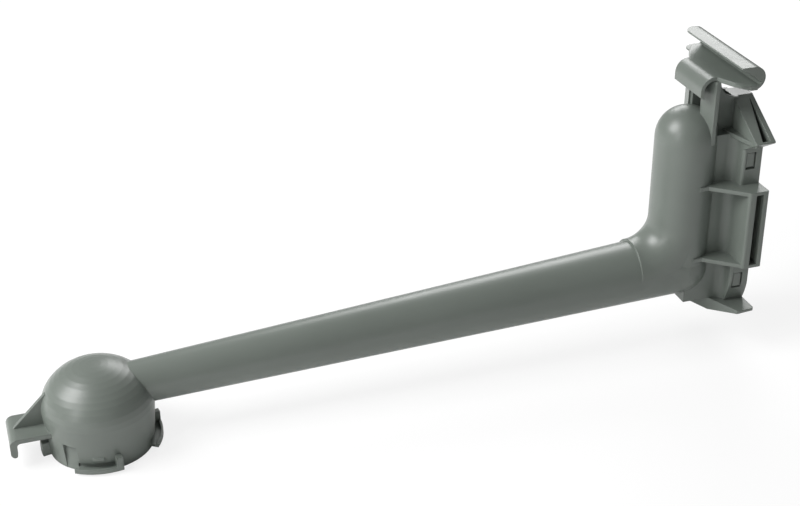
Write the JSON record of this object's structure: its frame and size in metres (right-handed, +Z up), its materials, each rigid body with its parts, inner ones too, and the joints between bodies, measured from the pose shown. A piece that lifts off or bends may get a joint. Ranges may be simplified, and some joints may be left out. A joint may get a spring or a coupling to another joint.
{
  "type": "dishwasher upper water tube",
  "caption": "Moulded water tube for a dishwasher's upper rack: round cap for the spray arm, tapered tube, standing riser and docking head with a rack hook.",
  "frame": {"origin": "centre of the cap's open rim, in the rim's plane, which is the mouth of the spray-arm socket", "axes": "+Z up along the cap's axis, +X along the tube from the cap to the docking head, +Y sideways; the part is mirrored about the XZ plane except for the lugs and the hook lip's rounded end"},
  "size_m": [0.3173, 0.0518, 0.1352],
  "materials": {
    "tube_plastic": "satin",
    "plate_plastic": "satin"
  },
  "bodies": {
    "root": {"water_tube": "tube_plastic", "inlet_plate": "plate_plastic"}
  },
  "joints": []
}
